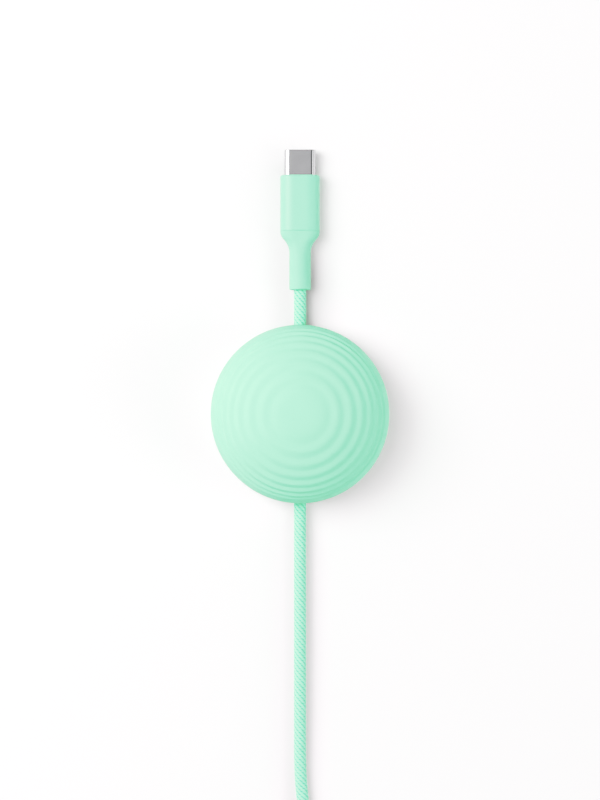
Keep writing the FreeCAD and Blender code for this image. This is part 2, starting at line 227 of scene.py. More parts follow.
mouldings = {
    "mintSkin": {
        "dark": rgb(0.285, 0.693, 0.436), "light": rgb(0.31, 0.724, 0.464),
        "cloud": 9 * mm, "grain": 0.28 * mm, "depth": 0.012 * mm, "gloss": (0.55, 0.67),
        "constants": {"Specular IOR Level": 0.04},
    },
    "mintShell": {
        "dark": rgb(0.254, 0.634, 0.405), "light": rgb(0.278, 0.663, 0.43),
        "cloud": 6 * mm, "grain": 0.2 * mm, "depth": 0.01 * mm, "gloss": (0.34, 0.44),
        "constants": {"Specular IOR Level": 0.28},
    },
    "mintBoot": {
        "dark": rgb(0.262, 0.635, 0.408), "light": rgb(0.287, 0.664, 0.433),
        "cloud": 5 * mm, "grain": 0.24 * mm, "depth": 0.012 * mm, "gloss": (0.46, 0.58),
        "constants": {"Specular IOR Level": 0.16},
    },
    "carrierBlack": {
        "dark": rgb(0.012, 0.012, 0.013), "light": rgb(0.035, 0.035, 0.037),
        "cloud": 1.5 * mm, "grain": 0.09 * mm, "depth": 0.006 * mm, "gloss": (0.35, 0.55),
    },
    "boardGreen": {
        "dark": rgb(0.02, 0.14, 0.05), "light": rgb(0.04, 0.22, 0.09),
        "cloud": 0.8 * mm, "grain": 0.12 * mm, "depth": 0.008 * mm, "gloss": (0.25, 0.4),
    },
    "wireSheath": {
        "dark": rgb(0.48, 0.035, 0.03), "light": rgb(0.6, 0.06, 0.05),
        "cloud": 1.2 * mm, "grain": 0.15 * mm, "depth": 0.006 * mm, "gloss": (0.25, 0.35),
    },
    "castWeight": {
        "dark": rgb(0.2, 0.2, 0.21), "light": rgb(0.36, 0.36, 0.37),
        "cloud": 4 * mm, "grain": 0.5 * mm, "depth": 0.06 * mm, "gloss": (0.45, 0.7),
        "constants": {"Metallic": 1.0},
    },
    "plateGrey": {
        "dark": rgb(0.5, 0.56, 0.54), "light": rgb(0.58, 0.63, 0.61),
        "cloud": 6 * mm, "grain": 0.3 * mm, "depth": 0.02 * mm, "gloss": (0.5, 0.65),
    },
    "padRubber": {
        "dark": rgb(0.3, 0.37, 0.34), "light": rgb(0.38, 0.45, 0.42),
        "cloud": 5 * mm, "grain": 0.22 * mm, "depth": 0.03 * mm, "gloss": (0.7, 0.85),
    },
}
metals = {
    "steelMouth": {
        "dark": rgb(0.6, 0.6, 0.61), "light": rgb(0.7, 0.7, 0.71), "stretch": (1.0, 0.06, 1.0),
        "line": 0.05 * mm, "smear": 2.5 * mm, "depth": 0.0006 * mm, "gloss": (0.05, 0.1),
        "constants": {"Specular Tint": rgb(0.3, 0.3, 0.31)},  # duller at its edges
    },
    "springSteel": {
        "dark": rgb(0.48, 0.48, 0.48), "light": rgb(0.6, 0.6, 0.6), "stretch": (1.0, 0.1, 1.0),
        "line": 0.06 * mm, "smear": 1 * mm, "depth": 0.001 * mm, "gloss": (0.22, 0.36),
    },
    "contactGold": {
        "dark": rgb(0.76, 0.53, 0.19), "light": rgb(0.88, 0.68, 0.32), "stretch": (1.0, 0.1, 1.0),
        "line": 0.05 * mm, "smear": 0.8 * mm, "depth": 0.001 * mm, "gloss": (0.18, 0.3),
    },
    "screwSteel": {
        "dark": rgb(0.42, 0.42, 0.43), "light": rgb(0.56, 0.56, 0.57), "stretch": (1.0, 1.0, 0.2),
        "line": 0.1 * mm, "smear": 1.2 * mm, "depth": 0.003 * mm, "gloss": (0.25, 0.42),
    },
}
finishes = {name: mouldedFinish(name, look) for name, look in mouldings.items()}
finishes.update({name: metalFinish(name, look) for name, look in metals.items()})
print("finishes:", len(mouldings), "moulded,", len(metals), "metal")


# Pieces

def addPiece(name, mesh, finish, body, replaced):
    piece = bpy.data.objects.new(name, mesh)
    bpy.context.scene.collection.objects.link(piece)
    mesh.materials.clear()
    mesh.materials.append(finish)
    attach(piece, body)
    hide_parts(*replaced)
    return piece


def meshFrom(name, points, faces):
    mesh = bpy.data.meshes.new(name)
    mesh.from_pydata(points, [], faces)
    return mesh


def facingOut(mesh):
    form = bmesh.new()
    form.from_mesh(mesh)
    bmesh.ops.recalc_face_normals(form, faces=form.faces)
    form.to_mesh(mesh)
    form.free()
    return mesh


def smoothed(mesh, sharpAngle):
    mesh.shade_smooth()
    mesh.set_sharp_from_angle(angle=math.radians(sharpAngle))
    return mesh


def plainMesh(holder):
    # The holder's evaluated shape as a mesh of its own; the holder goes.
    depsgraph = bpy.context.evaluated_depsgraph_get()
    mesh = bpy.data.meshes.new_from_object(holder.evaluated_get(depsgraph))
    holder.modifiers.clear()
    bpy.data.objects.remove(holder)
    return mesh


def eased(share):  # 0 to 1 with soft ends
    share = min(max(share, 0), 1)
    return share ** 2 * (3 - 2 * share)


# Dome: a revolved outline whose rings stand closer towards the belly

domeLook = {
    "around": 216, "along": 251, "mergeGap": 0.0005 * mm, "sharpAngle": 40,  # grid of the skin
    "outerShare": 0.72, "footShare": 0.8, "rimShare": 0.82, "innerFootShare": 0.88,  # of the grid's length
    "gridHair": 1e-5,  # keeps a grid row on the near side of a change
    "bellyHeight": 6.5 * mm, "footInset": 2.3 * mm, "wall": 2.0 * mm,
    "rings": 8, "ringDepth": 0.27 * mm, "middleShare": 0.5,  # the first ring is lower
    "firstRing": math.radians(13.3), "ringStep": math.radians(10.9), "tightening": 0.905,
    "channelRadius": 1.825 * mm, "channelHeight": 2.85 * mm, "channelSides": 72,
    "channelReach": 3,  # length of the cutter, in radii of the dome
}


def domeSizes():
    look = domeLook
    low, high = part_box("dome_skin")
    drop = look["bellyHeight"] - low.z
    steps = (1 - look["tightening"] ** (look["rings"] - 0.5)) / (1 - look["tightening"])
    return {
        "Radius": (high.x - low.x) / 2,
        "Rise": high.z - look["bellyHeight"] + look["ringDepth"] * look["middleShare"] / 2,
        "Belly Height": look["bellyHeight"],
        "Foot Height": low.z,
        "Foot Round": (look["footInset"] ** 2 + drop ** 2) / (2 * look["footInset"]),
        "Wall": look["wall"],
        "Ring Depth": look["ringDepth"],
        "Middle Share": look["middleShare"],
        "First Ring": look["firstRing"],
        "Ring Step": look["ringStep"],
        "Tightening": look["tightening"],
        "Last Valley": look["firstRing"] + look["ringStep"] * steps,
        "Channel Radius": look["channelRadius"],
        "Channel Height": look["channelHeight"],
    }


def channelCut(start, skin, reach, channel, height):
    # The cord's way through the foot: a round channel that is open below.
    sizes = {"Vertices": domeLook["channelSides"], "Radius": channel, "Depth": reach}
    bore = start.add("GeometryNodeMeshCylinder", {}, sizes)
    lifted = start.add("ShaderNodeCombineXYZ", {}, {2: height})
    laid = {"Geometry": bore, "Translation": lifted, "Rotation": (math.pi / 2, 0, 0)}
    bore = start.add("GeometryNodeTransform", {}, laid)
    slitSize = start.add("ShaderNodeCombineXYZ", {}, {0: channel * 2, 1: reach, 2: height * 2})
    slit = start.add("GeometryNodeMeshCube", {}, {"Size": slitSize})
    union = {"operation": "UNION", "solver": "EXACT"}
    cutter = start.add("GeometryNodeMeshBoolean", union, {"Mesh 2": bore})
    plugIn(start.tree, cutter.socket.node.inputs["Mesh 2"], slit)
    difference = {"operation": "DIFFERENCE", "solver": "EXACT"}
    return start.add("GeometryNodeMeshBoolean", difference, {"Mesh 1": skin, "Mesh 2": cutter})


def domeTree(names):
    look = domeLook
    tree = bpy.data.node_groups.new("rippledDome", "GeometryNodeTree")
    for way in ("INPUT", "OUTPUT"):
        tree.interface.new_socket("Geometry", in_out=way, socket_type="NodeSocketGeometry")
    for name in names:
        tree.interface.new_socket(name, in_out="INPUT", socket_type="NodeSocketFloat")
    tree.interface.new_socket("Skin", in_out="INPUT", socket_type="NodeSocketMaterial")
    start = Wire(tree)
    given = start.add("NodeGroupInput")
    radius, rise, belly, foot, footRound, wall = [given.other(name) for name in names[:6]]
    depth, middle, first, step, tight, valley, channel, height = [given.other(name) for name in names[6:]]
    grid = start.add(
        "GeometryNodeMeshGrid", {},
        {"Size X": 1.0, "Size Y": 1.0, "Vertices X": look["around"] + 1, "Vertices Y": look["along"]},
    )
    gridX, gridY = start.add("GeometryNodeInputPosition").split()[:2]
    turn = (gridX + 0.5) * fullTurn
    along = gridY + 0.5

    # Outside, from the middle to the belly
    angle = along.share(0.0, look["outerShare"]) * (math.pi / 2)
    ring = start.maths("LOGARITHM", 1 - (angle - first) * (1 - tight) / step, tight)
    wave = (angle > first).choose(-1 * (angle / first * math.pi).cos(), (ring * fullTurn).cos())
    fading = -0.5 - 0.5 * ((angle - valley) / (math.pi / 2 - valley) * math.pi).cos()
    strength = middle + (1 - middle) * angle.smooth(first, first + step)
    lift = (angle > valley).choose(wave, fading) * strength * depth / 2
    leanOut, leanUp = angle.sin() / radius, angle.cos() / rise
    lean = (leanOut * leanOut + leanUp * leanUp).root()
    outerRadius = radius * angle.sin() + lift * leanOut / lean
    outerHeight = belly + rise * angle.cos() + lift * leanUp / lean

    def tuckedRadius(bend, level):  # on the foot's arc at this level
        drop = belly - level
        return radius - footRound + (bend * bend - drop * drop).root()

    # Tucked-in foot, its rim and the smooth inside
    footHeight = belly - (belly - foot) * along.share(look["outerShare"], look["footShare"])
    footRadius = tuckedRadius(footRound, footHeight)
    innerHeight = foot + (belly - foot) * along.share(look["rimShare"], look["innerFootShare"])
    innerRadius = tuckedRadius(footRound - wall, innerHeight)
    innerAngle = math.pi / 2 - along.share(look["innerFootShare"], 1.0) * (math.pi / 2)
    ceilingRadius = (radius - wall) * innerAngle.sin()
    ceilingHeight = belly + (rise - wall) * innerAngle.cos()

    pastBelly = along > look["outerShare"] + look["gridHair"]
    pastRim = along > (look["footShare"] + look["rimShare"]) / 2
    pastInner = along > look["innerFootShare"] + look["gridHair"]
    across = pastBelly.choose(outerRadius, footRadius)
    across = pastInner.choose(pastRim.choose(across, innerRadius), ceilingRadius)
    up = pastBelly.choose(outerHeight, footHeight)
    up = pastInner.choose(pastRim.choose(up, innerHeight), ceilingHeight)
    spun = start.add("ShaderNodeCombineXYZ", {}, {0: across * turn.cos(), 1: across * turn.sin(), 2: up})
    skin = start.add("GeometryNodeSetPosition", {}, {"Geometry": grid, "Position": spun})
    skin = start.add("GeometryNodeMergeByDistance", {}, {"Geometry": skin, "Distance": look["mergeGap"]})
    skin = start.add("GeometryNodeFlipFaces", {}, {0: skin})
    skin = channelCut(start, skin, look["channelReach"] * radius, channel, height)
    skin = start.add("GeometryNodeRealizeInstances", {}, {0: skin})
    skin = start.add("GeometryNodeSetMaterial", {}, {"Geometry": skin, "Material": given.other("Skin")})
    plugIn(tree, tree.nodes.new("NodeGroupOutput").inputs[0], skin)
    return tree


def grownMesh(name, tree, values):
    # Runs a geometry tree with these inputs and gives its plain mesh.
    holder = bpy.data.objects.new(name, bpy.data.meshes.new(name))
    bpy.context.scene.collection.objects.link(holder)
    modifier = holder.modifiers.new(name, "NODES")
    modifier.node_group = tree
    for item in tree.interface.items_tree:
        if item.in_out == "INPUT" and item.name in values:
            modifier[item.identifier] = values[item.name]
    return plainMesh(holder)


def makeDome():
    sizes = domeSizes()
    mesh = grownMesh("rippledDome", domeTree(list(sizes)), {**sizes, "Skin": finishes["mintSkin"]})
    smoothed(mesh, domeLook["sharpAngle"])
    addPiece("rippled_dome", mesh, finishes["mintSkin"], "dome", ["dome_skin"])
    print("dome:", len(mesh.polygons), "faces")


# Plugs: each skin is a loft of flat-topped rings with round sides, closed on itself

ringLook = {"arcSteps": 22, "flatSteps": 8, "leastFlat": 0.005 * mm, "easePower": 0.8, "sharpAngle": 35}


def stadiumRing(place, width, height, y, ease=0.0):
    # Flat top and round sides; ease is the share of the flat that goes to a gentler start of the rounding.
    radius = height / 2
    flat = max(width / 2 - radius, ringLook["leastFlat"]) * (1 - ease)
    reach, power = width / 2 - flat, 2 / (2 + ringLook["easePower"] * ease)
    ring = []
    for side in (1, -1):
        for step in range(ringLook["flatSteps"]):
            ring.append(((2 * step / ringLook["flatSteps"] - 1) * flat * side, radius * side))
        for step in range(ringLook["arcSteps"]):
            turn = math.pi * (0.5 - step / ringLook["arcSteps"])
            out, up = math.cos(turn), math.sin(turn)
            x = flat + reach * max(out, 0) ** power
            z = radius * math.copysign(abs(up) ** power, up)
            ring.append((x * side, z * side))
    return [place + Vector((x, y, z)) for x, z in ring]


def closedLoft(name, rings):
    # Joins each ring to the next, and the last one to the first.
    count = len(rings[0])
    points = [point for ring in rings for point in ring]
    faces = []
    for index in range(len(rings)):
        here, there = index * count, (index + 1) % len(rings) * count
        for step in range(count):
            after = (step + 1) % count
            faces.append((here + step, here + after, there + after, there + step))
    return smoothed(facingOut(meshFrom(name, points, faces)), ringLook["sharpAngle"])


def quarter(steps):  # (sine, cosine) pairs of a quarter turn
    turns = [math.pi / 2 * step / steps for step in range(steps + 1)]
    return [(math.sin(turn), math.cos(turn)) for turn in turns]


def openingEdge(place, width, height, y, radius, steps, ease=0.0):
    # Rounded edge that opens out from y; a negative radius turns it round.
    rings = []
    for sine, cosine in quarter(steps):
        inset = 2 * radius * (1 - sine)
        rings.append(stadiumRing(place, width - inset, height - inset, y + radius * (1 - cosine), ease))
    return rings


def closingEdge(place, width, height, y, radius, steps, ease=0.0):
    # Rounded edge that closes in towards y.
    rings = []
    for sine, cosine in quarter(steps):
        inset = 2 * radius * (1 - cosine)
        rings.append(stadiumRing(place, width - inset, height - inset, y - radius * (1 - sine), ease))
    return rings


def straightRun(place, width, height, low, high, shares, ease=0.0):
    return [stadiumRing(place, width, height, low + (high - low) * share, ease) for share in shares]


plugLook = {
    "bodyWidth": 10.5 * mm, "bodyThickness": 5.7 * mm, "bodyLength": 14.8 * mm, "ease": 0.25,
    "frontRound": 0.5 * mm, "frontSteps": 8, "frontWall": 1.2 * mm, "seamRound": 0.1 * mm, "seamSteps": 3,
    "cavityWidth": 8.7 * mm, "cavityHeight": 3.9 * mm, "windowGap": 0.04 * mm, "windowEdge": 0.1 * mm,
    "bootLength": 15.65 * mm, "shoulder": 5.9 * mm, "shoulderRound": 3.3 * mm, "shoulderSteps": 28,
    "neckWidth": 5.7 * mm, "neckHeight": 5.6 * mm, "neckRound": 0.35 * mm, "neckSteps": 6,
    "bore": 3.29 * mm, "spigotLength": 1.6 * mm, "spigotGap": 0.1 * mm, "bootEdge": 0.05 * mm,
    "mouthWidth": 8.25 * mm, "mouthHeight": 2.4 * mm, "mouthWall": 0.3 * mm,
    "mouthExposed": 6.75 * mm, "mouthSeated": 5.0 * mm,
    "lipRound": 0.2 * mm, "lipSteps": 6, "lipInner": 0.06 * mm, "lipInnerSteps": 3,
    # Where the rings of each straight run stand, as shares of it
    "bodyRings": (0.02, 0.1, 0.25, 0.5, 0.75, 0.9, 0.98), "faceRings": (0.1, 0.9, 1.0),
    "neckRings": (0.05, 0.25, 0.5, 0.75, 0.95),
    "mouthRings": (0.0, 0.1, 0.3, 0.45, 0.6, 0.8, 0.95, 0.99), "mouthInnerRings": (0.85, 0.5),
}


def housingMesh(name, place):
    look = plugLook
    back, front = look["bootLength"], look["bootLength"] + look["bodyLength"]
    width, thickness, ease = look["bodyWidth"], look["bodyThickness"], look["ease"]
    cavity = (look["cavityWidth"], look["cavityHeight"])
    window = (look["mouthWidth"] + look["windowGap"], look["mouthHeight"] + look["windowGap"])
    low, high = back + look["seamRound"], front - look["frontRound"]
    rings = [stadiumRing(place, *cavity, back)]
    rings += openingEdge(place, width, thickness, back, look["seamRound"], look["seamSteps"], ease)
    rings += straightRun(place, width, thickness, low, high, look["bodyRings"], ease)
    rings += closingEdge(place, width, thickness, front, look["frontRound"], look["frontSteps"], ease)
    outer = (width - 2 * look["frontRound"], thickness - 2 * look["frontRound"])
    for share in look["faceRings"]:
        size = [a + (b - a) * share for a, b in zip(outer, window)]
        rings.append(stadiumRing(place, *size, front))
    for depth in (look["windowEdge"], look["frontWall"]):
        rings.append(stadiumRing(place, *window, front - depth))
    rings.append(stadiumRing(place, *cavity, front - look["frontWall"]))
    return closedLoft(name, rings)


def shoulderWidth(behind):
    # Width of the boot behind the seam: a bulge that runs into a hollow.
    look = plugLook
    drop = (look["bodyWidth"] - look["neckWidth"]) / 2
    lean = 2 * math.atan(drop / look["shoulder"])
    hollow = look["shoulder"] / math.sin(lean) - look["shoulderRound"]
    if behind < look["shoulderRound"] * math.sin(lean):
        bulge = look["shoulderRound"]
        return look["bodyWidth"] - 2 * bulge + 2 * math.sqrt(bulge ** 2 - behind ** 2)
    left = look["shoulder"] - behind
    return look["neckWidth"] + 2 * hollow - 2 * math.sqrt(hollow ** 2 - left ** 2)


def bootMesh(name, place):
    look = plugLook
    length, neckTop = look["bootLength"], look["bootLength"] - look["shoulder"]
    bore, neck = (look["bore"], look["bore"]), (look["neckWidth"], look["neckHeight"])
    rings = [stadiumRing(place, *bore, 0)]
    rings += openingEdge(place, *neck, 0, look["neckRound"], look["neckSteps"])
    rings += straightRun(place, *neck, look["neckRound"], neckTop, look["neckRings"])
    edge = look["bootEdge"]
    for step in range(look["shoulderSteps"] + 1):
        behind = look["shoulder"] - (look["shoulder"] - edge) * step / look["shoulderSteps"]
        width = shoulderWidth(behind)
        fullness = (width - look["neckWidth"]) / (look["bodyWidth"] - look["neckWidth"])
        height = look["neckHeight"] + (look["bodyThickness"] - look["neckHeight"]) * fullness
        rings.append(stadiumRing(place, width, height, length - behind, look["ease"]))
    seam = (look["bodyWidth"] - 2 * edge, look["bodyThickness"] - 2 * edge)
    rings.append(stadiumRing(place, *seam, length, look["ease"]))
    spigot = (look["cavityWidth"] - look["spigotGap"], look["cavityHeight"] - look["spigotGap"])
    for y in (length, length + look["spigotLength"]):
        rings.append(stadiumRing(place, *spigot, y))
    rings.append(stadiumRing(place, *bore, length + look["spigotLength"]))
    return closedLoft(name, rings)


def mouthMesh(name, place):
    look = plugLook
    front = look["bootLength"] + look["bodyLength"]
    back, tip = front - look["mouthSeated"], front + look["mouthExposed"]
    outer = (look["mouthWidth"], look["mouthHeight"])
    inner = [size - 2 * look["mouthWall"] for size in outer]
    high = tip - look["lipRound"]
    rings = [stadiumRing(place, *inner, back)]
    rings += straightRun(place, *outer, back, high, look["mouthRings"])
    rings += closingEdge(place, *outer, tip, look["lipRound"], look["lipSteps"])
    rings += openingEdge(place, *inner, tip, -look["lipInner"], look["lipInnerSteps"])
    rings += straightRun(place, *inner, back, high, look["mouthInnerRings"])
    return closedLoft(name, rings)


def makePlug(end):
    low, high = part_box(end + "_strain_relief")
    place = Vector(((low.x + high.x) / 2, low.y, (low.z + high.z) / 2))
    made = []
    for piece, build, finish, slot, node in (
        ("plug_body", housingMesh, "mintShell", "mint_shell", "plug_housing"),
        ("plug_boot", bootMesh, "mintBoot", "mint_boot", "strain_relief"),
        ("steel_mouth", mouthMesh, "steelMouth", "steel_mouth", "plug_shell"),
    ):
        name = end + "_" + piece
        made.append(addPiece(name, build(name, place), finishes[finish], "cable", [end + "_" + node]))
    return made


# Cord: one length on one smooth line, with left-hand ribs

cordLook = {
    "diameter": 3.25 * mm, "crest": 1.65 * mm, "valley": 1.54 * mm,
    "ribs": 7, "stepsPerRib": 6, "ribPitch": 1.42 * mm, "ringStep": 0.55 * mm, "sharpAngle": 80,
    "length": 1.125, "insideBoot": 3.0 * mm, "curveSteps": 24,
    "bootEnd": Vector((0.0, 32.9, 2.85)) * mm, "chargerEnd": Vector((-19.5, -149.0, 2.85)) * mm,
    # The route's points in millimetres: device plug to coil, and coil to charger plug
    "lead": [
        (0.0, -44.0, 2.85), (0.0, -74.0, 2.85), (0.0, -104.0, 2.0), (6.0, -122.0, 1.65),
        (16.5, -139.0, 1.65), (23.6, -156.0, 1.75), (24.69, -171.0, 2.1),
    ],
    "tail": [(-24.69, -174.5, 5.4), (-22.6, -165.0, 4.2), (-19.5, -156.8, 2.85)],
}
coilLook = {  # lengths in millimetres, as the route's points are
    "centre": (0.0, -184.0), "outerTurn": 24.69, "turns": 3.5, "pointsPerTurn": 24,
    "lowLayer": 2.175, "highLayer": 5.425, "climb": 0.5, "pitch": 3.25,
}


def coilPoints():
    # Inwards on the surface, up over half a turn, and outwards again on top.
    look = coilLook
    step = fullTurn / look["pointsPerTurn"]
    outset = 1 / (0.75 + 0.25 * math.cos(step))  # the line runs inside its control points
    inward = look["turns"] + look["climb"]
    topPitch = look["pitch"] * inward / look["turns"]
    points = []
    for index in range(round((inward + look["turns"]) * look["pointsPerTurn"]) + 1):
        turns = index / look["pointsPerTurn"]
        radius = look["outerTurn"] - look["pitch"] * min(turns, inward) + topPitch * max(turns - inward, 0)
        climbed = eased((turns - look["turns"]) / look["climb"])
        height = look["lowLayer"] + (look["highLayer"] - look["lowLayer"]) * climbed
        turn = -turns * fullTurn
        points.append((
            look["centre"][0] + radius * outset * math.cos(turn),
            look["centre"][1] + radius * outset * math.sin(turn),
            height,
        ))
    return points


def cordLine():
    look = cordLook
    inside = Vector((0, look["insideBoot"], 0))
    route = [Vector(point) * mm for point in look["lead"] + coilPoints() + look["tail"]]
    route = [look["bootEnd"] + inside] + route + [look["chargerEnd"], look["chargerEnd"] + inside]
    curve = bpy.data.curves.new("cordRoute", "CURVE")
    curve.dimensions = "3D"
    curve.resolution_u = look["curveSteps"]
    spline = curve.splines.new("NURBS")
    spline.points.add(len(route) - 1)
    for point, place in zip(spline.points, route):
        point.co = (*place, 1.0)
    spline.order_u = 3
    spline.use_endpoint_u = True
    holder = bpy.data.objects.new("cordRoute", curve)
    bpy.context.scene.collection.objects.link(holder)
    mesh = plainMesh(holder)
    line = [vertex.co.copy() for vertex in mesh.vertices]
    bpy.data.meshes.remove(mesh)
    return line


def evenly(line, step):
    # Points at even distances along a line, its ends included, and the line's length.
    lengths = [0.0]
    for here, there in zip(line, line[1:]):
        lengths.append(lengths[-1] + (there - here).length)
    count = round(lengths[-1] / step)
    points, index = [], 0
    for place in range(count + 1):
        goal = lengths[-1] * place / count
        while index < len(line) - 2 and lengths[index + 1] < goal:
            index += 1
        span = lengths[index + 1] - lengths[index]
        points.append(line[index].lerp(line[index + 1], (goal - lengths[index]) / span if span else 0))
    return points, lengths[-1]


def ribbedTube(name, line, length):
    look = cordLook
    count = look["ribs"] * look["stepsPerRib"]
    lead = look["ribs"] * look["ribPitch"]
    step = length / (len(line) - 1)
    middle, swing = (look["crest"] + look["valley"]) / 2, (look["crest"] - look["valley"]) / 2
    radii = [middle + swing * math.cos(fullTurn * index / look["stepsPerRib"]) for index in range(count)]
    points, faces, places = [], [], []
    side, heading = Vector((1, 0, 0)), (line[1] - line[0]).normalized()
    for index, centre in enumerate(line):
        ahead = (line[min(index + 1, len(line) - 1)] - line[max(index - 1, 0)]).normalized()
        side = heading.rotation_difference(ahead) @ side
        side = (side - ahead * side.dot(ahead)).normalized()
        heading = ahead
        up = ahead.cross(side)
        twist = -fullTurn * index * step / lead
        for corner, radius in enumerate(radii):
            turn = fullTurn * corner / count + twist
            points.append(centre + side * (radius * math.cos(turn)) + up * (radius * math.sin(turn)))
    for index in range(len(line) - 1):
        here, there = index * count, (index + 1) * count
        for corner in range(count):
            after = (corner + 1) % count
            faces.append((here + corner, here + after, there + after, there + corner))
            along, around = index * step / mm, corner / count
            places += [
                (along, around), (along, around + 1 / count),
                (along + step / mm, around + 1 / count), (along + step / mm, around),
            ]
    last = len(points) - count
    faces += [tuple(range(count))[::-1], tuple(range(last, last + count))]
    places += [(0, 0)] * (2 * count)
    mesh = smoothed(meshFrom(name, points, faces), look["sharpAngle"])
    layer = mesh.uv_layers.new(name="braid")
    layer.data.foreach_set("uv", [value for place in places for value in place])
    return mesh


braidLook = {
    "dark": rgb(0.125, 0.56, 0.325), "light": rgb(0.355, 0.785, 0.52), "gloss": (0.62, 0.8),
    "filaments": 5, "filamentSlant": 1.2, "filamentStray": 3, "wander": 0.6 * mm, "leastGap": 0.35,
    "yarnLight": 0.96, "gapShade": 0.9, "crossShade": 0.22, "filamentLight": 0.14, "wanderLight": 0.4,
    "depth": 0.12 * mm, "crestHeight": 0.5, "dipHeight": 0.3, "filamentHeight": 0.12,
}


def pulse(wire):  # 1 at each whole number, 0 between them
    return (wire * fullTurn).cos() * 0.5 + 0.5


def braidFinish():
    # Yarn bundles on a left-hand lay, dipped where the other lay crosses, with fine filaments.
    look = braidLook
    pitch = cordLook["ribPitch"] / mm

    def recipe(start):
        along, around = start.add("ShaderNodeUVMap", {"uv_map": "braid"}).split()[:2]
        bundle = around * cordLook["ribs"]
        crossing = bundle + along * (2 / pitch)
        crest, dip = pulse(bundle), pulse(crossing)
        wander = noise(start, objectPlace(start), look["wander"])
        strand = bundle * (fullTurn * look["filaments"]) + crossing * look["filamentSlant"]
        filament = (strand + wander * look["filamentStray"]).cos() * 0.5 + 0.5
        # Darker in the gaps between bundles and where the other lay crosses: partly the gaps' own darker
        # yarn, partly painted shade
        gap = (1 - crest) ** 2 * dip.between(look["leastGap"], 1.0)
        light = look["yarnLight"] - gap * look["gapShade"] - (1 - dip) * crest * look["crossShade"]
        light = light + filament * look["filamentLight"] + (wander - 0.5) * look["wanderLight"]
        height = crest.root() * look["crestHeight"] + dip * look["dipHeight"] * crest
        return {
            "Base Color": light.smooth(0.0, 1.0).tint(look["dark"], look["light"]),
            "Roughness": wander.between(*look["gloss"]),
            "Normal": bump(start, height + filament * look["filamentHeight"], look["depth"]),
        }
    return makeFinish("mintBraid", {"Specular IOR Level": 0.03}, recipe)


def makeCord():
    look = cordLook
    line, length = evenly(cordLine(), look["ringStep"])
    mesh = ribbedTube("braided_cord", line, length)
    replaced = ["cord", "cord_coil", "cord_tail"]
    cord = addPiece("braided_cord", mesh, braidFinish(), "cable", replaced)
    print("cord:", round(length, 4), "m,", len(mesh.polygons), "faces")


# Tie: a woven strap round the coil, its end laid over its start

tieLook = {
    "width": 8.0 * mm, "thickness": 0.5 * mm, "overlap": 9.0 * mm, "ramp": 4.0 * mm,
    "left": 11.64 * mm, "right": 26.36 * mm, "low": 0.5 * mm, "high": 7.1 * mm, "round": 1.55 * mm,
    "overStart": 1.04, "edgeRound": 0.18,  # in thicknesses
    "tipShare": 0.02,  # least share of the half width at the tip, squared
    "alongStep": 0.4 * mm, "acrossSteps": 10, "cornerSteps": 8, "sharpAngle": 50,
}


def tieOutline():
    # Rounded box round the coil's section, as (distance from the coil's middle, height) and outward leans.
    look = tieLook
    corners = [
        (look["right"], look["high"], 0), (look["left"], look["high"], 90),
        (look["left"], look["low"], 180), (look["right"], look["low"], 270),
    ]
    outline = []
    for x, z, start in corners:
        inX = x - math.copysign(look["round"], math.cos(math.radians(start + 45)))
        inZ = z - math.copysign(look["round"], math.sin(math.radians(start + 45)))
        for step in range(look["cornerSteps"] + 1):
            turn = math.radians(start + 90 * step / look["cornerSteps"])
            lean = (math.cos(turn), math.sin(turn))
            outline.append(((inX + look["round"] * lean[0], inZ + look["round"] * lean[1]), lean))
    return outline


def strapSpots():
    # Even spots along the strap: once round the coil and on over its own start.
    look = tieLook
    outline = tieOutline()
    outline = outline + outline[:1]
    spots, travelled = [], 0.0
    for (here, leanHere), (there, leanThere) in zip(outline, outline[1:]):
        span = math.dist(here, there)
        steps = max(1, round(span / look["alongStep"]))
        for step in range(steps):
            share = step / steps
            spots.append((
                travelled + span * share,
                [a + (b - a) * share for a, b in zip(here, there)],
                [a + (b - a) * share for a, b in zip(leanHere, leanThere)],
            ))
        travelled += span
    again = [(travelled + along, place, lean) for along, place, lean in spots if along <= look["overlap"]]
    return spots + again, travelled


def strapRow(layer, spot, girth):
    # Points across the strap at one spot, on its inner (0) or outer (1) face.
    look = tieLook
    along, (distance, height), lean = spot
    middleX, middleY = [value * mm for value in coilLook["centre"]]
    climb = eased((along - girth + look["ramp"]) / look["ramp"])
    lift = look["thickness"] * (layer + look["overStart"] * climb)
    ending = min((girth + look["overlap"] - along) / (look["width"] / 2), 1.0)
    half = look["width"] / 2 * math.sqrt(max(1 - (1 - ending) ** 2, look["tipShare"]))
    points = []
    for row in range(look["acrossSteps"] + 1):
        across = (2 * row / look["acrossSteps"] - 1) * half
        rounding = look["edgeRound"] * look["thickness"] if row in (0, look["acrossSteps"]) else 0
        rise = lift + rounding * (1 - 2 * layer)
        out = distance + lean[0] * rise
        points.append(Vector((middleX + across, middleY - out, height + lean[1] * rise)))
    return points


def tieMesh():
    spots, girth = strapSpots()
    points = [point for layer in (0, 1) for spot in spots for point in strapRow(layer, spot, girth)]
    rows, count = tieLook["acrossSteps"] + 1, len(spots)
    face = count * rows  # points on one face of the strap
    faces = []
    for layer in (0, 1):
        for index in range(count - 1):
            for row in range(rows - 1):
                here = layer * face + index * rows + row
                quad = (here, here + 1, here + rows + 1, here + rows)
                faces.append(quad if layer else quad[::-1])
    for index in range(count - 1):
        for row in (0, rows - 1):
            here, there = index * rows + row, (index + 1) * rows + row
            faces.append((here, there, there + face, here + face))
    for index in (0, count - 1):
        for row in range(rows - 1):
            here = index * rows + row
            faces.append((here, here + 1, here + 1 + face, here + face))
    return smoothed(facingOut(meshFrom("coil_strap", points, faces)), tieLook["sharpAngle"])


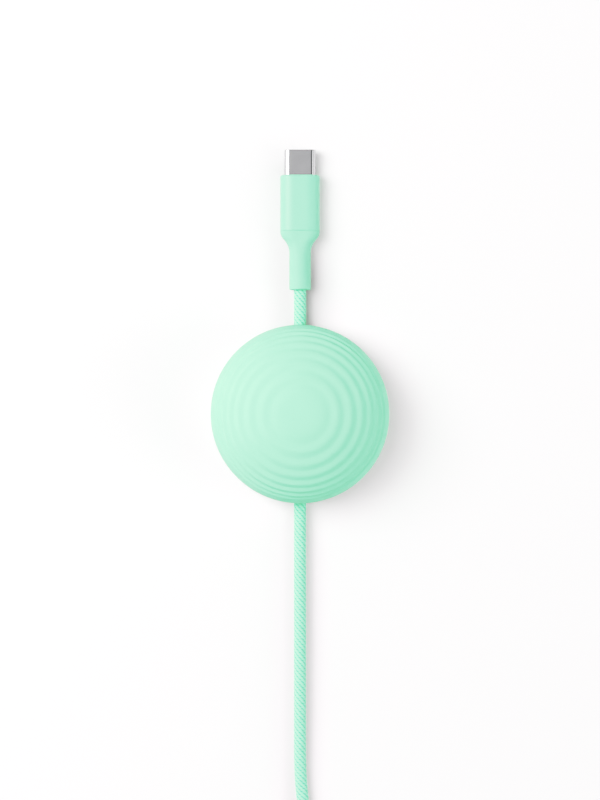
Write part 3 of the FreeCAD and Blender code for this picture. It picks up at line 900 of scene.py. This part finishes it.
strapLook = {
    "dark": rgb(0.4, 0.68, 0.56), "light": rgb(0.62, 0.88, 0.76), "gloss": (0.75, 0.9),
    "thread": 0.42 * mm, "fuzz": 0.12 * mm, "fuzzShare": 0.3, "fuzzHeight": 0.4, "depth": 0.05 * mm,
    "constants": {"Specular IOR Level": 0.3, "Sheen Weight": 0.25, "Sheen Roughness": 0.5},
}


def strapFinish():
    # Plain weave in threads along and across, on Object coordinates.
    look = strapLook

    def recipe(start):
        x, y, z = objectPlace(start).split()
        warp = (x * (fullTurn / look["thread"])).sin()
        weft = ((y + z) * (fullTurn / look["thread"])).sin()
        weave = warp * weft * 0.5 + 0.5
        fuzz = noise(start, objectPlace(start), look["fuzz"])
        return {
            "Base Color": weave.mixed(fuzz, look["fuzzShare"]).tint(look["dark"], look["light"]),
            "Roughness": fuzz.between(*look["gloss"]),
            "Normal": bump(start, weave + fuzz * look["fuzzHeight"], look["depth"]),
        }
    return makeFinish("tieStrap", look["constants"], recipe)


def makeTie():
    tie = addPiece("coil_strap", tieMesh(), strapFinish(), "cable", ["coil_tie"])
    print("tie:", len(tie.data.polygons), "faces")
    return tie


# Pieces that keep their solid form and only take a finish

plugFinishes = {
    "contact_carrier": "carrierBlack", "upper_contacts": "contactGold", "lower_contacts": "contactGold",
    "latch_springs": "springSteel", "paddle_board": "boardGreen", "conductors": "wireSheath",
    "cord_crimp": "springSteel",
}
domeFinishes = {
    "dome_weight": "castWeight", "foot_plate": "plateGrey",
    "foot_screws": "screwSteel", "foot_pad": "padRubber",
}


def finishNode(name, finish):
    data = nodes[name].data
    data.materials.clear()
    data.materials.append(finishes[finish])


def finishSolids():
    solids = {end + "_" + piece: finish for end in ends for piece, finish in plugFinishes.items()}
    for name, finish in {**solids, **domeFinishes}.items():
        finishNode(name, finish)
    return [nodes[name] for name in solids]  # what the cord carries


makeDome()
plugPieces = [piece for end in ends for piece in makePlug(end)]
print("plugs:", len(plugPieces), "pieces")
inner = finishSolids()
tie = makeTie()
makeCord()


# Stage, light and camera

floorLook = {
    # nearShadeTint and nearShadeGlow: a painted tint and a painted glow that take the green bounce out of the
    # shade near the dome and the cord
    "size": 6.0, "level": -0.01 * mm, "tint": rgb(0.975, 0.955, 0.962), "nearShadeTint": rgb(0.975, 0.925, 0.95),
    "nearShadeGlow": rgb(0.06, 0.0, 0.035), "farGlow": rgb(0.42, 0.42, 0.42), "far": (0.35, 1.4),
    "byDome": (24 * mm, 38 * mm), "underDome": (21.5 * mm, 24.5 * mm),  # from the dome's middle
    "byCord": (3 * mm, 10 * mm), "cordFoot": (-125 * mm, -105 * mm), "cordTop": (57 * mm, 66 * mm),
    "cordEdge": (0.0, 1.5 * mm),
    # Painted shade on the floor beside the neck, the plug and the lead
    "neckShade": {
        "dark": 0.38, "reach": (-0.5 * mm, 13 * mm),
        "foot": (14 * mm, 22 * mm), "top": (34 * mm, 51 * mm),
    },
    "plugShade": {
        "dark": 0.18, "reach": (2 * mm, 11.5 * mm),
        "foot": (14 * mm, 24 * mm), "top": (64 * mm, 71 * mm),
    },
    "leadShade": {
        "dark": 0.18, "reach": (1.5 * mm, 5.5 * mm),
        "foot": (-125 * mm, -105 * mm), "top": (-28 * mm, -20 * mm),
    },
    "constants": {"Roughness": 0.93, "Specular IOR Level": 0.0, "Emission Strength": 1.0},
}


def paintedShade(across, along, shade):
    # Painted shade on the floor on one side of the cord, between two places along it.
    side = across.smooth(*floorLook["cordEdge"]) * across.fade(*shade["reach"])
    return side * along.smooth(*shade["foot"]) * along.fade(*shade["top"]) * shade["dark"]


def floorFinish():
    look = floorLook
    black = rgb(0.0, 0.0, 0.0)

    def recipe(start):
        # Paper whose painted tint and glow even out the green cast in the shade by the dome and the cord,
        # with painted shade beside cord and plug.
        x, y = objectPlace(start).split()[:2]
        left, reach = -1 * x, (x * x + y * y).root()
        byCord = start.maths("ABSOLUTE", x).fade(*look["byCord"])
        byCord = byCord * y.smooth(*look["cordFoot"]) * y.fade(*look["cordTop"])
        near = start.maths("MAXIMUM", reach.fade(*look["byDome"]), byCord)
        shade = paintedShade(x, y, look["neckShade"])
        shade = shade + paintedShade(left, y, look["plugShade"]) + paintedShade(left, y, look["leadShade"])
        # Painted tint and painted glow near the dome and the cord; the glow fades out under the dome
        paper = near.tint(look["tint"], look["nearShadeTint"])
        glow = near * (1 - shade) * reach.smooth(*look["underDome"])
        glow = glow.tint(black, look["nearShadeGlow"])
        return {
            "Base Color": shade.tint(paper, black),
            "Emission Color": reach.smooth(*look["far"]).tint(glow, look["farGlow"]),
        }
    return makeFinish("paperFloor", look["constants"], recipe)


def makeFloor():
    half, level = floorLook["size"] / 2, floorLook["level"]
    corners = [(-half, -half, level), (half, -half, level), (half, half, level), (-half, half, level)]
    mesh = meshFrom("floor", corners, [(0, 1, 2, 3)])
    mesh.materials.append(floorFinish())
    floor = bpy.data.objects.new("floor", mesh)
    bpy.context.scene.collection.objects.link(floor)


skyLook = {
    "even": 0.18, "left": 0.45, "right": 0.05, "back": 0.14, "front": 0.13,
    "zenith": 0.385, "zenithHeight": (0.88, 0.95), "zenithSide": (0.06, 0.13),
}


def makeSky():
    look = skyLook
    world = bpy.data.worlds.new("studio")
    bpy.context.scene.world = world
    world.use_nodes = True
    x, y, z = Wire(world.node_tree).add("ShaderNodeTexCoord", out="Generated").split()
    rim = x.share(0.0, 1.0) * look["right"] + x.share(0.0, -1.0) * look["left"]
    rim = rim + y.share(0.0, 1.0) * look["back"] + y.share(0.0, -1.0) * look["front"]
    overhead = z.smooth(*look["zenithHeight"]) * x.fade(*look["zenithSide"]) * (look["zenith"] - look["even"])
    background = world.node_tree.nodes["Background"]
    background.inputs["Color"].default_value = rgb(1.0, 1.0, 1.0)
    strength = look["even"] + overhead + rim * (1 - z.share(0.0, 1.0))
    plugIn(world.node_tree, background.inputs["Strength"], strength)


lampDistance = 1.2
lamps = {
    "keyLow": {"toward": (-0.653, 0.238, 0.719), "size": 0.75, "power": 6.1},
    "keyHigh": {"toward": (-0.441, 0.161, 0.883), "size": 0.75, "power": 5.4},
    "fill": {"toward": (0.919, -0.246, 0.309), "size": 0.9, "power": 3.8},
    "strip": {"toward": (0.77, -0.04, 0.637), "size": 0.7, "power": 0.95},  # for the steel's edge
}


def addLamp(name, toward, size, power):
    light = bpy.data.lights.new(name, "AREA")
    light.shape = "DISK"
    light.size = size
    light.energy = power
    lamp = bpy.data.objects.new(name, light)
    direction = Vector(toward).normalized()
    lamp.location = direction * lampDistance
    lamp.rotation_euler = direction.to_track_quat("Z", "Y").to_euler()
    bpy.context.scene.collection.objects.link(lamp)


cameraLook = {
    "height": 0.8, "aim": 3.71 * mm, "level": 3.0 * mm, "frameHeight": 212.2 * mm,
    "filmHeight": 36.0, "clipEnd": 20,
}


def makeCamera():
    look = cameraLook
    data = bpy.data.cameras.new("overhead")
    data.sensor_width = look["filmHeight"]  # laid along the longer side of the picture
    data.lens = look["filmHeight"] * (look["height"] - look["level"]) / look["frameHeight"]
    data.clip_end = look["clipEnd"]
    camera = bpy.data.objects.new("overhead", data)
    camera.location = (0, look["aim"], look["height"])
    bpy.context.scene.collection.objects.link(camera)
    bpy.context.scene.camera = camera


filmLook = {
    "white": 0.935,
    "curve": [(0.1, 0.11), (0.2, 0.275), (0.31, 0.515), (0.46, 0.7), (0.65, 0.83), (0.85, 0.935)],
}


def setFilmCurve():
    # Toe and shoulder, as film has, from scene light to picture light.
    settings = bpy.context.scene.view_settings
    settings.view_transform = "Standard"
    settings.use_curve_mapping = True
    mapping = settings.curve_mapping
    mapping.white_level = [filmLook["white"]] * 3
    allColours = mapping.curves[3]
    for light, shown in filmLook["curve"]:
        allColours.points.new(light, shown)
    mapping.update()


makeFloor()
makeSky()
for name, look in lamps.items():
    addLamp(name, **look)
makeCamera()
setFilmCurve()
print("stage: floor, sky,", len(lamps), "lamps and camera")
